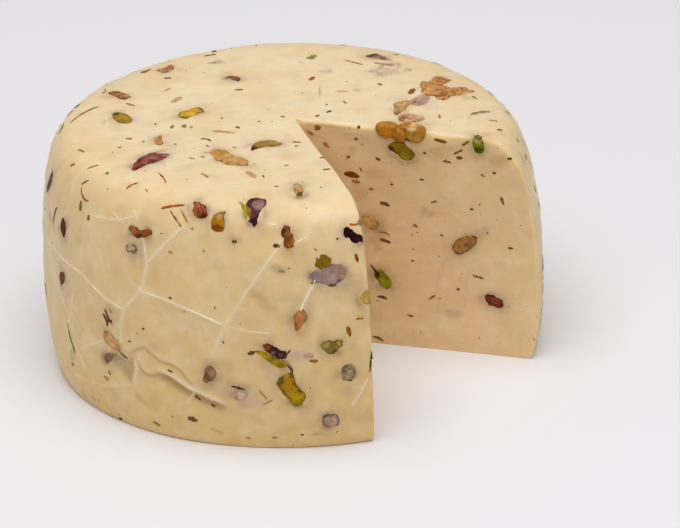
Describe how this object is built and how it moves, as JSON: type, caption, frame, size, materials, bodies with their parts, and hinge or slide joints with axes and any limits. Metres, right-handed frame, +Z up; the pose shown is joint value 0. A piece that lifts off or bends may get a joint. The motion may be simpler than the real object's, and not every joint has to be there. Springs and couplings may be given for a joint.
{
  "type": "nut cheese wheel",
  "caption": "Upright wheel of pale cream cheese studded with pistachios, walnuts and almonds, with one wedge cut out.",
  "frame": {"origin": "centre of the flat base, under the middle of the wheel's box", "axes": "+Z up along the wheel's axis; the notch left by the wedge opens between +X and -Y"},
  "size_m": [0.2605, 0.2607, 0.1286],
  "materials": {
    "cheese": "pale cream nut cheese, smooth and slightly waxy, creased where film wrapped it",
    "pistachio": "pistachio kernel, yellow-green flesh with a darker olive rim",
    "pistachio_skin": "pistachio kernel still in its dark maroon-purple skin",
    "walnut": "walnut piece, orange-brown and wrinkled",
    "almond": "almond piece with its tan-brown skin",
    "veiled_nut": "nut under a thin veil of cheese, grey-lilac to grey-brown"
  },
  "bodies": {
    "root": {"almond_01": "almond", "almond_02": "almond", "almond_03": "almond", "almond_04": "almond", "cheese": "cheese", "pistachio_01": "pistachio", "pistachio_02": "pistachio", "pistachio_03": "pistachio", "pistachio_04": "pistachio", "pistachio_05": "pistachio", "pistachio_06": "pistachio", "pistachio_07": "pistachio", "pistachio_08": "pistachio", "pistachio_09": "pistachio", "pistachio_10": "pistachio", "pistachio_11": "pistachio", "pistachio_12": "pistachio", "pistachio_13": "pistachio", "pistachio_14": "pistachio", "pistachio_15": "pistachio", "pistachio_16": "pistachio", "pistachio_17": "pistachio", "pistachio_18": "pistachio", "pistachio_skin_01": "pistachio_skin", "pistachio_skin_02": "pistachio_skin", "pistachio_skin_03": "pistachio_skin", "pistachio_skin_04": "pistachio_skin", "pistachio_skin_05": "pistachio_skin", "pistachio_skin_06": "pistachio_skin", "pistachio_skin_07": "pistachio_skin", "pistachio_skin_08": "pistachio_skin", "pistachio_skin_09": "pistachio_skin", "pistachio_skin_10": "pistachio_skin", "pistachio_skin_11": "pistachio_skin", "pistachio_skin_12": "pistachio_skin", "pistachio_skin_13": "pistachio_skin", "veiled_nut_01": "veiled_nut", "veiled_nut_02": "veiled_nut", "veiled_nut_03": "veiled_nut", "veiled_nut_04": "veiled_nut", "veiled_nut_05": "veiled_nut", "veiled_nut_06": "veiled_nut", "veiled_nut_07": "veiled_nut", "veiled_nut_08": "veiled_nut", "veiled_nut_09": "veiled_nut", "veiled_nut_10": "veiled_nut", "veiled_nut_11": "veiled_nut", "walnut_01": "walnut", "walnut_02": "walnut", "walnut_03": "walnut", "walnut_04": "walnut", "walnut_05": "walnut", "walnut_06": "walnut", "walnut_07": "walnut", "walnut_08": "walnut", "walnut_09": "walnut", "walnut_10": "walnut", "walnut_11": "walnut", "walnut_12": "walnut"}
  },
  "joints": []
}
